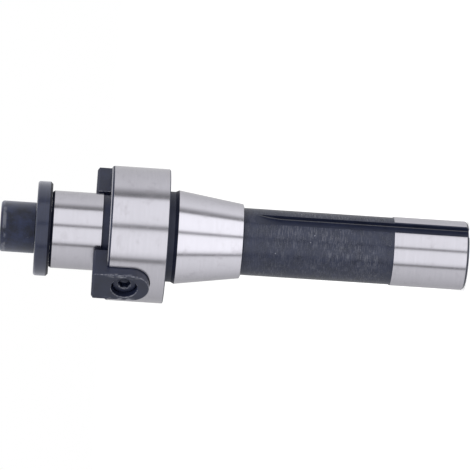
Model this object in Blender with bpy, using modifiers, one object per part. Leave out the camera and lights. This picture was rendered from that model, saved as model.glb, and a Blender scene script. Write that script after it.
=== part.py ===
# Shell mill arbor with an R8 shank, for cutters with a 27 mm bore.
# One turned and ground body, two screwed-in drive keys, and a lock screw with its thick washer.
# Metres. +Z runs along the axis towards the cutter, and the origin is the centre of the shank's end face.
# The drive keys sit at +X and -X, and the keyway of the shank is cut at +Y.

from collections import namedtuple
from math import acos, cos, pi, radians, sin, sqrt, tan

import bmesh
import bpy

# Fits
SEAT_GAP = 0.0003  # left between two pieces that touch
THREAD_GAP = 0.0003  # between a screw's smooth rod and its smooth hole, on the radius

# Shank, an R8
SHANK_LENGTH = 0.1016  # from the end face to the big end of the taper
SHANK_DIAMETER = 0.0241
SHANK_END_CHAMFER = 0.0006
LAND_LENGTH = 0.0262  # the ground length at the end
RELIEF_DEPTH = 0.0003  # of the length between the land and the taper, on the radius
RELIEF_STEP_LENGTH = 0.0002
TAPER_BIG_DIAMETER = 0.03275
TAPER_LENGTH = 0.0226
TAPER_HALF_ANGLE = radians(8.425)
TAPER_END_CHAMFER = 0.00045  # along the axis, where the taper drops to the relieved length

# Keyway of the shank
KEYWAY_WIDTH = 0.0044
KEYWAY_DEPTH = 0.0022  # below the ground length
KEYWAY_CHAMFER = 0.0005
KEYWAY_FULL_LENGTH = 0.0638  # from the end face to where the floor starts to rise
KEYWAY_CUTTER_RADIUS = 0.025

# Drawbar thread, drawn smooth at its pitch diameter
DRAWBAR_HOLE_DIAMETER = 0.0103
DRAWBAR_HOLE_DEPTH = 0.032
DRAWBAR_MOUTH_CHAMFER = 0.001
DRILL_HALF_ANGLE = radians(59)

# Neck and flange
NECK_LENGTH = 0.0037
NECK_DEPTH = 0.0006  # below the big end of the taper, on the radius
NECK_FLARE_LENGTH = 0.0012
FLANGE_DIAMETER = 0.047
FLANGE_LENGTH = 0.020
FLANGE_FRONT_CHAMFER = 0.00075
FLANGE_REAR_CHAMFER = 0.0004

# Pilot, which the cutter's bore fits, with a grinding groove at its foot
PILOT_DIAMETER = 0.027
PILOT_LENGTH = 0.020  # from the flange's face
PILOT_CHAMFER = 0.0004
GROOVE_WIDTH = 0.0024
GROOVE_DEPTH = 0.0005
GROOVE_SLOPE = 0.0002

# Lock screw, M12
LOCK_THREAD = 0.012
LOCK_LENGTH = 0.030  # under the head
LOCK_TIP_CHAMFER = 0.0012
LOCK_HEAD_DIAMETER = 0.01775
LOCK_HEAD_HEIGHT = 0.012
LOCK_HEAD_RADIUS = 0.0011
LOCK_HEAD_FOOT = 0.0002
LOCK_HEX = 0.010  # across the flats
LOCK_HEX_DEPTH = 0.006
LOCK_HOLE_EXTRA = 0.0058  # how far the hole's wall runs past the screw's tip
LOCK_MOUTH_CHAMFER = 0.0008

# Key screws, M5
KEY_SCREW_THREAD = 0.005
KEY_SCREW_LENGTH = 0.010
KEY_SCREW_TIP_CHAMFER = 0.0005
KEY_SCREW_HEAD_DIAMETER = 0.0085
KEY_SCREW_HEAD_HEIGHT = 0.005
KEY_SCREW_HEAD_RADIUS = 0.0006
KEY_SCREW_HEAD_FOOT = 0.0001
KEY_SCREW_HEX = 0.004
KEY_SCREW_HEX_DEPTH = 0.0025
KEY_SCREW_RECESS = 0.002  # of the head's top below the key's outer face
KEY_TAP_EXTRA = 0.001  # how far the tapped hole's wall runs past the screw's tip

# Washer of the lock screw
WASHER_DIAMETER = 0.033
WASHER_THICKNESS = 0.0052
WASHER_EDGE_RADIUS = 0.0009
WASHER_HOLE_CLEARANCE = 0.0005  # round the thread, on the radius
WASHER_HOLE_CHAMFER = 0.0003

# Drive keys
KEY_WIDTH = 0.012
KEY_LENGTH = 0.020
KEY_HEIGHT = 0.012
KEY_PILOT_CLEARANCE = 0.0008  # between the pilot and the key's inner face
KEY_PROTRUSION = 0.0052  # in front of the flange's face
KEY_FRONT_CHAMFER = 0.0008
KEY_EDGE_BREAK = 0.0002
KEY_SCREW_SETBACK = 0.0062  # from the flange's face to the screw's axis
KEY_HOLE_CLEARANCE = 0.00025  # round the thread, on the radius
COUNTERBORE_CLEARANCE = 0.0003  # round the screw's head, on the radius
COUNTERBORE_EDGE_BREAK = 0.0002

# Places along the axis
NECK_START = SHANK_LENGTH
FLANGE_START = NECK_START + NECK_LENGTH
FLANGE_FACE = FLANGE_START + FLANGE_LENGTH
PILOT_FACE = FLANGE_FACE + PILOT_LENGTH
WASHER_SEAT = PILOT_FACE + SEAT_GAP
LOCK_HEAD_SEAT = WASHER_SEAT + WASHER_THICKNESS + SEAT_GAP
LOCK_HOLE_FLOOR = LOCK_HEAD_SEAT - LOCK_LENGTH - LOCK_HOLE_EXTRA
KEY_FRONT = FLANGE_FACE + KEY_PROTRUSION
KEY_REAR = KEY_FRONT - KEY_LENGTH
KEY_SCREW_AXIS = FLANGE_FACE - KEY_SCREW_SETBACK

# Places out from the axis
KEY_SEAT = PILOT_DIAMETER / 2 + KEY_PILOT_CLEARANCE
KEY_SLOT_FLOOR = KEY_SEAT - SEAT_GAP
KEY_SCREW_SEAT = KEY_SEAT + KEY_HEIGHT - KEY_SCREW_RECESS - KEY_SCREW_HEAD_HEIGHT
COUNTERBORE_DEPTH = KEY_SCREW_RECESS + KEY_SCREW_HEAD_HEIGHT + SEAT_GAP
KEY_TAP_FLOOR = KEY_SCREW_SEAT - KEY_SCREW_LENGTH - KEY_TAP_EXTRA

# Fineness of the curves
TURN_STEPS = 80
FASTENER_STEPS = 64
SMALL_TURN_STEPS = 40
KEY_END_STEPS = 18
ROUND_STEPS = 3
RUNOUT_STEPS = 10
HEX_SIDES = 6
MERGE_DISTANCE = 0.00001
CUT_MARGIN = 0.001  # how far a cutter stands out of what it cuts
SHARP_ANGLE = radians(30)

# Colour, roughness and metallic value
GROUND_STEEL = ((0.62, 0.61, 0.66), 0.28, 1.0)
BLACK_OXIDE = ((0.045, 0.047, 0.06), 0.45, 0.6)

Screw = namedtuple(
    "Screw", "thread length tip_chamfer head_diameter head_height head_radius head_foot hex_across hex_depth"
)
LOCK_SCREW = Screw(
    thread=LOCK_THREAD,
    length=LOCK_LENGTH,
    tip_chamfer=LOCK_TIP_CHAMFER,
    head_diameter=LOCK_HEAD_DIAMETER,
    head_height=LOCK_HEAD_HEIGHT,
    head_radius=LOCK_HEAD_RADIUS,
    head_foot=LOCK_HEAD_FOOT,
    hex_across=LOCK_HEX,
    hex_depth=LOCK_HEX_DEPTH,
)
KEY_SCREW = Screw(
    thread=KEY_SCREW_THREAD,
    length=KEY_SCREW_LENGTH,
    tip_chamfer=KEY_SCREW_TIP_CHAMFER,
    head_diameter=KEY_SCREW_HEAD_DIAMETER,
    head_height=KEY_SCREW_HEAD_HEIGHT,
    head_radius=KEY_SCREW_HEAD_RADIUS,
    head_foot=KEY_SCREW_HEAD_FOOT,
    hex_across=KEY_SCREW_HEX,
    hex_depth=KEY_SCREW_HEX_DEPTH,
)


def clear_scene():
    for obj in list(bpy.data.objects):
        bpy.data.objects.remove(obj, do_unlink=True)


def new_collection(name):
    collection = bpy.data.collections.new(name)
    bpy.context.scene.collection.children.link(collection)
    return collection


def material(name, colour, roughness, metallic):
    mat = bpy.data.materials.new(name)
    mat.use_nodes = True
    shader = mat.node_tree.nodes["Principled BSDF"]
    shader.inputs["Base Color"].default_value = (*colour, 1.0)
    shader.inputs["Roughness"].default_value = roughness
    shader.inputs["Metallic"].default_value = metallic
    return mat


def turned(name, collection, profile, steps, closed=False):
    """A shape turned about Z. The profile is (radius, height) and runs down its outer side."""
    count = len(profile)
    edges = [(i, i + 1) for i in range(count - 1)]
    if closed:
        edges.append((count - 1, 0))
    mesh = bpy.data.meshes.new(name)
    mesh.from_pydata([(radius, 0.0, height) for radius, height in profile], edges, [])
    obj = bpy.data.objects.new(name, mesh)
    collection.objects.link(obj)
    screw = obj.modifiers.new("turn", "SCREW")
    screw.steps = screw.render_steps = steps
    screw.use_merge_vertices = True
    screw.merge_threshold = MERGE_DISTANCE
    screw.use_smooth_shade = True
    return obj


def prism(name, collection, outline, height):
    """A flat outline in X and Y, filled and raised from Z = 0 to the height, as a closed mesh."""
    curve = bpy.data.curves.new(name, "CURVE")
    curve.dimensions = "2D"
    curve.fill_mode = "BOTH"
    curve.extrude = height / 2
    spline = curve.splines.new("POLY")
    spline.points.add(len(outline) - 1)
    for point, (x, y) in zip(spline.points, outline):
        point.co = (x, y, 0.0, 1.0)
    spline.use_cyclic_u = True
    drawn = bpy.data.objects.new(name + "_outline", curve)
    collection.objects.link(drawn)
    depsgraph = bpy.context.evaluated_depsgraph_get()
    mesh = bpy.data.meshes.new_from_object(drawn.evaluated_get(depsgraph))
    bpy.data.objects.remove(drawn, do_unlink=True)
    mesh.name = name
    bm = bmesh.new()
    bm.from_mesh(mesh)
    bmesh.ops.translate(bm, verts=bm.verts, vec=(0.0, 0.0, height / 2))
    bmesh.ops.remove_doubles(bm, verts=bm.verts, dist=MERGE_DISTANCE)
    bmesh.ops.dissolve_limit(bm, angle_limit=radians(1), verts=bm.verts, edges=bm.edges)
    bmesh.ops.recalc_face_normals(bm, faces=bm.faces)
    bm.to_mesh(mesh)
    bm.free()
    obj = bpy.data.objects.new(name, mesh)
    collection.objects.link(obj)
    return obj


def cut(obj, cutter):
    cutter.hide_render = True
    cutter.display_type = "WIRE"
    boolean = obj.modifiers.new(cutter.name, "BOOLEAN")
    boolean.operation = "DIFFERENCE"
    boolean.solver = "EXACT"
    boolean.object = cutter


def apply_and_shade(obj, mat):
    """Keeps what the modifiers made, shades it smooth with its sharp edges, and gives it its material."""
    bpy.context.view_layer.update()
    depsgraph = bpy.context.evaluated_depsgraph_get()
    mesh = bpy.data.meshes.new_from_object(obj.evaluated_get(depsgraph))
    mesh.name = obj.name
    obj.modifiers.clear()
    obj.data = mesh
    mesh.shade_smooth()
    mesh.set_sharp_from_angle(angle=SHARP_ANGLE)
    mesh.materials.clear()
    mesh.materials.append(mat)


def rounded(centre_radius, centre_height, radius, start, end):
    """Points of a quarter round on a profile, from the start angle to the end angle above the +X direction."""
    angles = [start + (end - start) * i / ROUND_STEPS for i in range(ROUND_STEPS + 1)]
    return [(centre_radius + radius * cos(a), centre_height + radius * sin(a)) for a in angles]


def drill_point(radius):
    """How much deeper than its wall a drilled hole is at its centre."""
    return radius / tan(DRILL_HALF_ANGLE)


def arbor_profile():
    """From the bottom of the lock screw's hole, over the outside, to the bottom of the drawbar's hole."""
    lock_radius = LOCK_THREAD / 2
    lock_hole = [
        (0.0, LOCK_HOLE_FLOOR - drill_point(lock_radius)),
        (lock_radius, LOCK_HOLE_FLOOR),
        (lock_radius, PILOT_FACE - LOCK_MOUTH_CHAMFER),
        (lock_radius + LOCK_MOUTH_CHAMFER, PILOT_FACE),
    ]
    pilot_radius = PILOT_DIAMETER / 2
    groove_top = FLANGE_FACE + GROOVE_WIDTH
    pilot = [
        (pilot_radius - PILOT_CHAMFER, PILOT_FACE),
        (pilot_radius, PILOT_FACE - PILOT_CHAMFER),
        (pilot_radius, groove_top),
        (pilot_radius - GROOVE_DEPTH, groove_top - GROOVE_SLOPE),
        (pilot_radius - GROOVE_DEPTH, FLANGE_FACE),
    ]
    flange_radius = FLANGE_DIAMETER / 2
    flange = [
        (flange_radius - FLANGE_FRONT_CHAMFER, FLANGE_FACE),
        (flange_radius, FLANGE_FACE - FLANGE_FRONT_CHAMFER),
        (flange_radius, FLANGE_START + FLANGE_REAR_CHAMFER),
        (flange_radius - FLANGE_REAR_CHAMFER, FLANGE_START),
    ]
    neck_radius = TAPER_BIG_DIAMETER / 2 - NECK_DEPTH
    neck = [
        (neck_radius, FLANGE_START),
        (neck_radius, NECK_START + NECK_FLARE_LENGTH),
    ]
    taper_end = SHANK_LENGTH - TAPER_LENGTH
    shank_radius = SHANK_DIAMETER / 2
    relief_radius = shank_radius - RELIEF_DEPTH
    taper = [
        (TAPER_BIG_DIAMETER / 2, SHANK_LENGTH),
        (TAPER_BIG_DIAMETER / 2 - TAPER_LENGTH * tan(TAPER_HALF_ANGLE), taper_end),
        (relief_radius, taper_end - TAPER_END_CHAMFER),
    ]
    land = [
        (relief_radius, LAND_LENGTH + RELIEF_STEP_LENGTH),
        (shank_radius, LAND_LENGTH),
        (shank_radius, SHANK_END_CHAMFER),
        (shank_radius - SHANK_END_CHAMFER, 0.0),
    ]
    drawbar_radius = DRAWBAR_HOLE_DIAMETER / 2
    drawbar_hole = [
        (drawbar_radius + DRAWBAR_MOUTH_CHAMFER, 0.0),
        (drawbar_radius, DRAWBAR_MOUTH_CHAMFER),
        (drawbar_radius, DRAWBAR_HOLE_DEPTH),
        (0.0, DRAWBAR_HOLE_DEPTH + drill_point(drawbar_radius)),
    ]
    return lock_hole + pilot + flange + neck + taper + land + drawbar_hole


def key_outline(half_width, rear, front):
    """The outline of a drive key or of its slot: straight at the front, a half circle at the rear."""
    arc_centre = rear + half_width
    angles = [pi + pi * i / KEY_END_STEPS for i in range(KEY_END_STEPS + 1)]
    arc = [(half_width * cos(a), arc_centre + half_width * sin(a)) for a in angles]
    return [(half_width, front), (-half_width, front)] + arc


def keyway_outline():
    """Side view of the keyway's cutter: height above the shank's axis against place along it."""
    floor = SHANK_DIAMETER / 2 - KEYWAY_DEPTH
    rise = KEYWAY_DEPTH + CUT_MARGIN
    last = acos(1 - rise / KEYWAY_CUTTER_RADIUS)
    angles = [last * i / RUNOUT_STEPS for i in range(RUNOUT_STEPS + 1)]
    runout = [
        (floor + KEYWAY_CUTTER_RADIUS * (1 - cos(a)), KEYWAY_FULL_LENGTH + KEYWAY_CUTTER_RADIUS * sin(a))
        for a in angles
    ]
    return [(floor + rise, -CUT_MARGIN), (floor, -CUT_MARGIN)] + runout


def keyway_chamfer_outline():
    """End view of the wedge that breaks the keyway's two edges."""
    inner = KEYWAY_WIDTH / 2
    outer = inner + KEYWAY_CHAMFER + CUT_MARGIN
    low = SHANK_DIAMETER / 2 - KEYWAY_CHAMFER
    high = SHANK_DIAMETER / 2 + CUT_MARGIN
    return [(-inner, low), (inner, low), (outer, high), (-outer, high)]


def cut_keyway(arbor, cutters):
    keyway = prism("keyway_cutter", cutters, keyway_outline(), KEYWAY_WIDTH)
    keyway.rotation_euler = (pi / 2, 0.0, pi / 2)
    keyway.location = (-KEYWAY_WIDTH / 2, 0.0, 0.0)
    cut(arbor, keyway)
    left = KEYWAY_DEPTH - KEYWAY_CHAMFER
    runout_part = sqrt(2 * KEYWAY_CUTTER_RADIUS * left - left**2)
    length = CUT_MARGIN + KEYWAY_FULL_LENGTH + runout_part
    chamfer = prism("keyway_chamfer_cutter", cutters, keyway_chamfer_outline(), length)
    chamfer.location = (0.0, 0.0, -CUT_MARGIN)
    cut(arbor, chamfer)


def cut_key_seat(arbor, cutters, side, name):
    """A slot for one drive key, open at the flange's face, and the tapped hole in its floor."""
    outline = key_outline(
        KEY_WIDTH / 2 + SEAT_GAP,
        KEY_REAR - KEY_SCREW_AXIS - SEAT_GAP,
        KEY_SCREW_SETBACK + CUT_MARGIN,
    )
    slot = prism(name + "_slot_cutter", cutters, outline, FLANGE_DIAMETER / 2 - KEY_SLOT_FLOOR + CUT_MARGIN)
    slot.parent = side
    slot.rotation_euler = (pi / 2, 0.0, pi / 2)
    slot.location = (KEY_SLOT_FLOOR, 0.0, KEY_SCREW_AXIS)
    cut(arbor, slot)
    radius = KEY_SCREW_THREAD / 2
    hole = turned(
        name + "_tapped_hole_cutter",
        cutters,
        [
            (0.0, KEY_SLOT_FLOOR + CUT_MARGIN),
            (radius, KEY_SLOT_FLOOR + CUT_MARGIN),
            (radius, KEY_TAP_FLOOR),
            (0.0, KEY_TAP_FLOOR - drill_point(radius)),
        ],
        SMALL_TURN_STEPS,
    )
    hole.parent = side
    hole.rotation_euler = (0.0, pi / 2, 0.0)
    hole.location = (0.0, 0.0, KEY_SCREW_AXIS)
    cut(arbor, hole)


def make_arbor(parts, cutters, sides, mat):
    arbor = turned("arbor_body", parts, arbor_profile(), TURN_STEPS)
    for index, side in enumerate(sides, start=1):
        cut_key_seat(arbor, cutters, side, f"key_{index}")
    cut_keyway(arbor, cutters)
    apply_and_shade(arbor, mat)


def break_key_edges(key, front):
    """Marks the edges round the front face for the wide chamfer and the other long edges for the narrow one."""
    bm = bmesh.new()
    bm.from_mesh(key.data)
    weights = bm.edges.layers.float.new("bevel_weight_edge")
    for edge in bm.edges:
        at_front = all(abs(vert.co.y - front) < MERGE_DISTANCE for vert in edge.verts)
        if at_front:
            edge[weights] = 1.0
        elif edge.calc_face_angle(0.0) > SHARP_ANGLE:
            edge[weights] = KEY_EDGE_BREAK / KEY_FRONT_CHAMFER
    bm.to_mesh(key.data)
    bm.free()
    bevel = key.modifiers.new("edges", "BEVEL")
    bevel.limit_method = "WEIGHT"
    bevel.width = KEY_FRONT_CHAMFER
    bevel.segments = 1


def key_hole_profile():
    """The counterbore and the hole of a key, from above its outer face to below its inner face."""
    bore = KEY_SCREW_HEAD_DIAMETER / 2 + COUNTERBORE_CLEARANCE
    hole = KEY_SCREW_THREAD / 2 + KEY_HOLE_CLEARANCE
    step = KEY_HEIGHT - COUNTERBORE_DEPTH
    mouth = bore + COUNTERBORE_EDGE_BREAK + CUT_MARGIN
    return [
        (0.0, KEY_HEIGHT + CUT_MARGIN),
        (mouth, KEY_HEIGHT + CUT_MARGIN),
        (bore, KEY_HEIGHT - COUNTERBORE_EDGE_BREAK),
        (bore, step),
        (hole, step),
        (hole, -CUT_MARGIN),
        (0.0, -CUT_MARGIN),
    ]


def make_drive_key(parts, cutters, side, name, mat):
    """A key block, drawn with X across it, Y along the arbor and Z outwards, about its screw's axis."""
    front = KEY_FRONT - KEY_SCREW_AXIS
    outline = key_outline(KEY_WIDTH / 2, KEY_REAR - KEY_SCREW_AXIS, front)
    key = prism(name, parts, outline, KEY_HEIGHT)
    break_key_edges(key, front)
    hole = turned(name + "_hole_cutter", cutters, key_hole_profile(), SMALL_TURN_STEPS)
    for obj in (key, hole):
        obj.parent = side
        obj.rotation_euler = (pi / 2, 0.0, pi / 2)
        obj.location = (KEY_SEAT, 0.0, KEY_SCREW_AXIS)
    cut(key, hole)
    apply_and_shade(key, mat)


def screw_profile(size):
    """A socket head screw: its head above Z = 0 and its rod below."""
    head_radius = size.head_diameter / 2
    rod_radius = size.thread / 2 - THREAD_GAP
    shoulder = size.head_height - size.head_radius
    return (
        [(0.0, size.head_height)]
        + rounded(head_radius - size.head_radius, shoulder, size.head_radius, pi / 2, 0.0)
        + [
            (head_radius, size.head_foot),
            (head_radius - size.head_foot, 0.0),
            (rod_radius, 0.0),
            (rod_radius, size.tip_chamfer - size.length),
            (rod_radius - size.tip_chamfer, -size.length),
            (0.0, -size.length),
        ]
    )


def make_screw(parts, cutters, name, size, steps):
    """A socket head screw about its own axis, its socket still a modifier."""
    screw = turned(name, parts, screw_profile(size), steps)
    corner = size.hex_across / 2 / cos(pi / HEX_SIDES)
    floor = size.head_height - size.hex_depth
    socket = turned(
        name + "_socket_cutter",
        cutters,
        [
            (0.0, size.head_height + CUT_MARGIN),
            (corner, size.head_height + CUT_MARGIN),
            (corner, floor),
            (0.0, floor - drill_point(size.hex_across / 2)),
        ],
        HEX_SIDES,
    )
    socket.parent = screw
    cut(screw, socket)
    return screw


def make_washer(parts, mat):
    radius = WASHER_DIAMETER / 2
    edge = WASHER_EDGE_RADIUS
    hole = LOCK_THREAD / 2 + WASHER_HOLE_CLEARANCE
    break_in = WASHER_HOLE_CHAMFER
    profile = (
        [(hole, WASHER_THICKNESS - break_in), (hole + break_in, WASHER_THICKNESS)]
        + rounded(radius - edge, WASHER_THICKNESS - edge, edge, pi / 2, 0.0)
        + rounded(radius - edge, edge, edge, 0.0, -pi / 2)
        + [(hole + break_in, 0.0), (hole, break_in)]
    )
    washer = turned("clamp_washer", parts, profile, FASTENER_STEPS, closed=True)
    washer.location = (0.0, 0.0, WASHER_SEAT)
    apply_and_shade(washer, mat)


def make_side(parts, name, turn):
    """An empty on the axis that carries one drive key, its screw and their cutters."""
    side = bpy.data.objects.new(name, None)
    side.rotation_euler = (0.0, 0.0, turn)
    parts.objects.link(side)
    return side


def main():
    clear_scene()
    parts = new_collection("shell_mill_arbor")
    cutters = new_collection("cutters")
    arbor_steel = material("arbor_steel", *GROUND_STEEL)
    key_steel = material("key_steel", *BLACK_OXIDE)
    key_screw_steel = material("key_screw_steel", *BLACK_OXIDE)
    washer_steel = material("washer_steel", *BLACK_OXIDE)
    lock_screw_steel = material("lock_screw_steel", *BLACK_OXIDE)

    sides = [make_side(parts, "key_side_1", 0.0), make_side(parts, "key_side_2", pi)]
    make_arbor(parts, cutters, sides, arbor_steel)
    for index, side in enumerate(sides, start=1):
        make_drive_key(parts, cutters, side, f"drive_key_{index}", key_steel)
        screw = make_screw(parts, cutters, f"key_screw_{index}", KEY_SCREW, SMALL_TURN_STEPS)
        screw.parent = side
        screw.rotation_euler = (0.0, pi / 2, 0.0)
        screw.location = (KEY_SCREW_SEAT, 0.0, KEY_SCREW_AXIS)
        apply_and_shade(screw, key_screw_steel)
    make_washer(parts, washer_steel)
    lock_screw = make_screw(parts, cutters, "lock_screw", LOCK_SCREW, FASTENER_STEPS)
    lock_screw.location = (0.0, 0.0, LOCK_HEAD_SEAT)
    apply_and_shade(lock_screw, lock_screw_steel)


main()
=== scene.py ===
"""The finished surfaces of a shell mill arbor with an R8 shank, round its solids, in a white studio."""

from math import acos, cos, pi, radians, sin, sqrt, tan

import bmesh
import bpy
from bpy.props import FloatProperty, FloatVectorProperty, PointerProperty
from mathutils import Matrix, Vector


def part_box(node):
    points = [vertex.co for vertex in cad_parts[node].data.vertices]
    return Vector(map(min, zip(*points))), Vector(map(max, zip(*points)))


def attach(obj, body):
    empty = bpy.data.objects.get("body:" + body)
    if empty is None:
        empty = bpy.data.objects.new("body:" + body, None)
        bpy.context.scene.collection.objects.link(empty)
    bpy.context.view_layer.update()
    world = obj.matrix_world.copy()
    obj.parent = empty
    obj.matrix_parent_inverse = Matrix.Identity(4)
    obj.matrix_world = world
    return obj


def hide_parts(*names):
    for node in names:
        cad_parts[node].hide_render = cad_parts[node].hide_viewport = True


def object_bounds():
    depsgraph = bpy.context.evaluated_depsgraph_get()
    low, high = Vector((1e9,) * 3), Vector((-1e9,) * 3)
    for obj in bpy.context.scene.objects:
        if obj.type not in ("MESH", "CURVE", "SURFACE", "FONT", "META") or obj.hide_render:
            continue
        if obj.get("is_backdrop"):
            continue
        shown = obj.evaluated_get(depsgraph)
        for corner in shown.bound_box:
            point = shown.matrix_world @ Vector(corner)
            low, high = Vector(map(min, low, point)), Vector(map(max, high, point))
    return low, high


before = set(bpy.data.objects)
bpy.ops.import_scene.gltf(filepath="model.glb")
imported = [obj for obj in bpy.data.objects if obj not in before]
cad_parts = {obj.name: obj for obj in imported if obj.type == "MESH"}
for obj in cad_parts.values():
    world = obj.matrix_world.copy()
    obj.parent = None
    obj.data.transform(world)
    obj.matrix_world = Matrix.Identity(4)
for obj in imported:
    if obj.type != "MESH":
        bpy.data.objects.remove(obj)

bl_info = {
    "name": "Shell Mill Arbor",
    "version": (1, 0, 0),
    "blender": (4, 5, 0),
    "location": "View3D > Sidebar > Arbor",
    "description": "Builds the finished pieces of an R8 shell mill arbor and a white studio round them",
    "category": "Object",
}

# Fineness of the meshes
TURN_STEPS = 256
SCREW_STEPS = 192
KEY_SCREW_STEPS = 96
THREAD_STEPS = 72
SMALL_THREAD_STEPS = 48
ROWS_PER_PITCH = 16
ARC_STEPS = 4
KEY_END_STEPS = 48
RUNOUT_STEPS = 40
HEX_SIDES = 6
WELD = 1e-6
CUT_MARGIN = 0.001
ROUND_STEPS = 8
SHARP_ANGLE = radians(28)
RUBBED_ANGLE = radians(80)

# Shapes that the standards give
TAPER_ANGLE = radians(8.425)
DRILL_POINT = radians(31)
CREST_SHARE = 0.25
FLANK_SHARE = 0.3125
ROD_REACH = 0.25
DRILL_SHARE = 0.97

# Marks, clouds and grains in the steels, by how many there are in a metre
GROUND_MARKS = 9000.0
BROAD_MARKS = 1500.0
OXIDE_MARKS = 3200.0
SHANK_MARKS = 5200.0
OXIDE_CLOUDS = 260.0
OXIDE_GRAINS = 2600.0

# Studio
WHITE = (1.0, 1.0, 1.0)
FLOOR_THICKNESS = 0.01
FLOOR_GAP = 0.0002
FLOOR_GLOW = 0.55
LAMP_PLACE = (0.5, 0.9, 1.6)
LAMP_AIM = (0.0, 0.0, 0.08)
LAMP_SIZE = 1.2
LAMP_POWER = 14.0
FRONT_LEVEL = 1.05
DIFFUSE_LEVEL = 0.92
# Dark seams between the panels: depth, and the degrees where each starts, is dark and ends
SEAMS = (
    (0.76, -90.0, -69.0, -66.5, -64.0),
    (0.86, -19.0, -13.5, -11.5, -6.5),
    (0.85, 38.5, 45.0, 46.5, 50.5),
)


def length(name, description, default):
    return FloatProperty(
        name=name, description=description, default=default, min=0.0, precision=5, unit="LENGTH"
    )


def share(name, description, default):
    return FloatProperty(
        name=name, description=description, default=default, min=0.0, max=1.0, subtype="FACTOR"
    )


def colour(name, description, default):
    return FloatVectorProperty(
        name=name, description=description, default=default, min=0.0, max=1.0, size=3, subtype="COLOR"
    )


class ArborSizes(bpy.types.PropertyGroup):
    """Sizes of the turned body."""

    end_chamfer: length("End chamfer", "Chamfer at the end of the shank", 0.0008)
    shank_diameter: length("Shank diameter", "Ground diameter at the end of the shank", 0.0241)
    land_length: length("Land length", "Ground length at the end of the shank", 0.0262)
    relief_depth: length("Relief depth", "Of the blackened length below the ground one", 0.0003)
    relief_step: length("Relief step", "Length of the step to the relief", 0.0002)
    shank_length: length("Shank length", "From the end face to the big end of the taper", 0.1016)
    taper_diameter: length("Taper diameter", "Big end of the taper", 0.03275)
    taper_length: length("Taper length", "Length of the ground taper", 0.0226)
    taper_drop: length("Taper drop", "Length of the step behind the taper", 0.00045)
    neck_depth: length("Neck depth", "Below the taper's big end", 0.0006)
    neck_flare: length("Neck flare", "Length of the slope from the taper to the neck", 0.0012)
    neck_length: length("Neck length", "From the taper to the flange", 0.0035)
    flange_length: length("Flange length", "Thickness of the flange", 0.02035)
    flange_front_chamfer: length("Front chamfer", "Bright chamfer at the flange's face", 0.00025)
    flange_front_band: length("Front band", "Black band behind the front chamfer", 0.0006)
    flange_front_band_drop: length("Front band drop", "Fall of the black band", 0.0003)
    flange_rear_chamfer: length("Rear chamfer", "Chamfer at the flange's back", 0.0003)
    pilot_diameter: length("Pilot diameter", "The cutter's bore fits this", 0.027)
    pilot_chamfer: length("Pilot chamfer", "Fall of the chamfer at the pilot's end", 0.0005)
    pilot_chamfer_length: length("Pilot chamfer length", "Length of the chamfer at the pilot's end", 0.00082)
    touch_gap: length("Touch gap", "Left between the pilot and the washer", 0.00002)
    groove_width: length("Groove width", "Grinding groove at the pilot's foot", 0.0024)
    groove_depth: length("Groove depth", "Depth of the grinding groove", 0.0005)
    groove_slope: length("Groove slope", "Length of the groove's sloped wall", 0.0002)
    edge_break: length("Edge break", "Rounding of the turned edges", 0.00006)
    keyway_width: length("Keyway width", "Width of the shank's keyway", 0.0044)
    keyway_depth: length("Keyway depth", "Depth of the keyway below the ground end", 0.0022)
    keyway_chamfer: length("Keyway chamfer", "Chamfer along the keyway's edges", 0.00055)
    keyway_corner: length("Keyway corner", "Strip between its floor and its walls", 0.0002)
    keyway_length: length("Keyway length", "Length of the keyway's flat floor", 0.0638)
    keyway_cutter_radius: length("Keyway cutter radius", "Radius of the floor's run-out", 0.034)
    drawbar_crest: length("Drawbar thread crest", "Inner radius of the drawbar's thread", 0.00495)
    drawbar_root: length("Drawbar thread root", "Outer radius of the drawbar's thread", 0.00556)
    drawbar_pitch: length("Drawbar thread pitch", "Twenty threads an inch", 0.00127)
    drawbar_depth: length("Drawbar thread depth", "Length of the drawbar's thread", 0.032)
    drawbar_mouth: length("Drawbar mouth", "Chamfer at the mouth of the drawbar's hole", 0.001)
    lock_crest: length("Lock thread crest", "Inner radius of the pilot's thread", 0.00515)
    lock_root: length("Lock thread root", "Outer radius of the pilot's thread", 0.00606)
    lock_depth: length("Lock thread depth", "Length of the pilot's thread", 0.030)
    lock_mouth: length("Lock mouth", "Chamfer at the mouth of the pilot's hole", 0.0008)


class KeySizes(bpy.types.PropertyGroup):
    """Sizes of a drive key and its seat."""

    width: length("Width", "Across the key", 0.012)
    height: length("Height", "From the key's inner face to its outer face", 0.012)
    seat_radius: length("Seat radius", "From the arbor's axis to the key's inner face", 0.0143)
    setback: length("Screw setback", "From the flange's face to the key screw's axis", 0.00635)
    seat_gap: length("Seat gap", "Left between the key and its slot", 0.0003)
    front_chamfer: length("Front chamfer", "Round the key's front face", 0.0008)
    front_inset: length("Front inset", "How far the front face lies inside the solid's", 0.0002)
    edge_break: length("Edge break", "Along the key's other edges", 0.0002)
    bore: length("Counterbore radius", "For the screw's head", 0.00455)
    bore_depth: length("Counterbore depth", "Below the outer face", 0.0073)
    bore_break: length("Counterbore edge", "Chamfer round the counterbore", 0.00025)
    hole: length("Hole radius", "For the screw's thread", 0.00275)


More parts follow.
